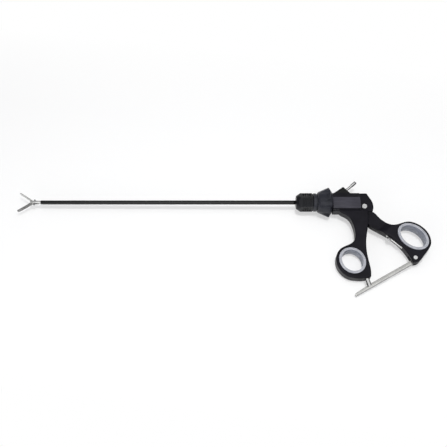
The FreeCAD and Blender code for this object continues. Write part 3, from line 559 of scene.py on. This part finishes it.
# Floor. Part of what the camera sees of it is plain white, all of it well beside the shaft, and the
# rest is paper under the lamps, which keeps the instrument's shadow.
floor_half_size = 3.0
floor_slope_x = 0.0137
floor_slope_y = 0.11
floor_gap_mm = 0.1
floor_glow_share = 0.5
mirrored_glow_share = 0.2
fade_from, fade_to = 0.12, 0.26
paper_grain_mm = (2.5, 2.5, 2.5)
paper_dark = (0.93, 0.93, 0.93, 1.0)
paper_light = (0.95, 0.95, 0.95, 1.0)
paper_roughness = 0.9


def lowest_along(direction):
    """Smallest distance along a direction that any point of the instrument has."""
    return min(min(v.co.dot(direction) for v in node.data.vertices) for node in nodes.values())


def glow_part(tree, camera_share):
    """Share of plain white in the floor: for rays from the camera, and less for mirrored ones."""
    path = tree.nodes.new("ShaderNodeLightPath")
    share = product(tree, path.outputs["Is Camera Ray"], camera_share)
    for ray in ("Is Glossy Ray", "Is Transmission Ray"):
        mirrored = span(tree, path.outputs[ray], 0, 1, 0, mirrored_glow_share)
        share = calculate(tree, "MAXIMUM", share, mirrored)
    return share


def dress_floor(mesh):
    material, tree, shader = new_material("floor_white")
    paper = blend_colours(tree, grain(tree, paper_grain_mm, detail=3), paper_dark, paper_light)
    tree.links.new(paper, shader.inputs["Base Color"])
    shader.inputs["Roughness"].default_value = paper_roughness
    shader.inputs["Specular IOR Level"].default_value = 0.0
    glow = tree.nodes.new("ShaderNodeEmission")
    glow.inputs["Color"].default_value = WHITE
    glow.inputs["Strength"].default_value = 1.0
    beside_shaft = size_along(tree, object_place(tree), "Y")
    camera_share = span(tree, beside_shaft, fade_from, fade_to, floor_glow_share, 1)
    share = glow_part(tree, camera_share)
    seen = choose_shader(tree, share, shader.outputs["BSDF"], glow.outputs["Emission"])
    tree.links.new(seen, tree.nodes["Material Output"].inputs["Surface"])
    mesh.materials.append(material)


def make_floor():
    """Pale floor under the wheel's lowest lobe, close to the finger ring, clear of the turned jaws."""
    reach = floor_half_size
    mesh = bpy.data.meshes.new("floor")
    corners = [(-reach, -reach, 0), (reach, -reach, 0), (reach, reach, 0), (-reach, reach, 0)]
    mesh.from_pydata(corners, [], [(0, 1, 2, 3)])
    floor = bpy.data.objects.new("floor", mesh)
    upright = Vector((floor_slope_x, floor_slope_y, 1)).normalized()
    floor.location = upright * (lowest_along(upright) - floor_gap_mm * MM)
    floor.rotation_euler = upright.to_track_quat("Z", "Y").to_euler()
    bpy.context.scene.collection.objects.link(floor)
    dress_floor(mesh)


# Light: three soft lamps that gloss doesn't mirror, and a room that only gloss and metal mirror
lamps = {
    "overhead": {
        "place": (0.1, 0.05, 1.2), "target": (0.0, -0.02, 0.0),
        "width": 1.2, "height": 0.6, "power": 3.6,
    },
    "crisp": {
        "place": (0.0, -0.1, 1.2), "target": (0.0, -0.02, 0.0),
        "width": 0.14, "height": 0.14, "power": 7.2,
    },
    "side": {
        "place": (-0.8, -0.9, 0.6), "target": (0.05, -0.03, 0.0),
        "width": 0.9, "height": 0.5, "power": 3.2,
    },
}
ambient_colour = (0.97, 0.98, 1.0, 1.0)
ambient_strength = 0.38

# Brightness of the mirrored room, from square to the panel's direction (0) to straight at it (1)
panel_direction = (0.0, -0.3, 0.954)
room_brightness = (
    (0.0, 0.4),
    (0.08, 0.05),
    (0.45, 0.09),
    (0.6, 0.3),
    (0.73, 0.7),
    (0.88, 0.95),
    (0.96, 1.12),
    (1.0, 1.2),
)


def area_light(name, place, target, width, height, power):
    data = bpy.data.lights.new(name, "AREA")
    data.shape = "RECTANGLE"
    data.size = width
    data.size_y = height
    data.energy = power
    light = bpy.data.objects.new(name, data)
    light.visible_glossy = False
    light.location = place
    light.rotation_euler = (Vector(target) - Vector(place)).to_track_quat("-Z", "Y").to_euler()
    bpy.context.scene.collection.objects.link(light)


def studio_reflection(tree):
    """The room as metal and gloss mirror it: a white panel overhead and darker walls."""
    place = tree.nodes.new("ShaderNodeTexCoord")
    towards = tree.nodes.new("ShaderNodeVectorMath")
    towards.operation = "DOT_PRODUCT"
    towards.inputs[1].default_value = panel_direction
    tree.links.new(place.outputs["Generated"], towards.inputs[0])
    ramp = tree.nodes.new("ShaderNodeValToRGB")
    ramp.color_ramp.interpolation = "EASE"
    elements = ramp.color_ramp.elements
    elements[0].position = room_brightness[0][0]
    elements[1].position = room_brightness[-1][0]
    for position, value in room_brightness[1:-1]:
        elements.new(position)
    for element, (position, value) in zip(elements, room_brightness):
        element.color = (value, value, value, 1)
    tree.links.new(towards.outputs["Value"], ramp.inputs["Fac"])
    return ramp.outputs["Color"]


def background(tree, colour, strength=1.0):
    node = tree.nodes.new("ShaderNodeBackground")
    feed(tree, colour, node.inputs["Color"])
    node.inputs["Strength"].default_value = strength
    return node.outputs["Background"]


def make_world():
    """White to the camera, the room to mirrored rays, and soft ambient light to all others."""
    world = bpy.data.worlds.new("world")
    world.use_nodes = True
    tree = world.node_tree
    tree.nodes.clear()
    output = tree.nodes.new("ShaderNodeOutputWorld")
    path = tree.nodes.new("ShaderNodeLightPath")
    ambient = background(tree, ambient_colour, ambient_strength)
    mirrored = background(tree, studio_reflection(tree))
    indirect = choose_shader(tree, path.outputs["Is Glossy Ray"], ambient, mirrored)
    seen = choose_shader(tree, path.outputs["Is Camera Ray"], indirect, background(tree, WHITE))
    tree.links.new(seen, output.inputs["Surface"])
    bpy.context.scene.world = world


def make_light():
    for name, lamp in lamps.items():
        area_light(name, **lamp)
    make_world()


def set_view_transform():
    bpy.context.scene.view_settings.view_transform = "Standard"


def write_size():
    def plain(box):
        return [list(corner) for corner in box]


make_camera()
set_view_transform()
dress_nodes(make_materials())
soften_edges()
make_floor()
make_light()
write_size()
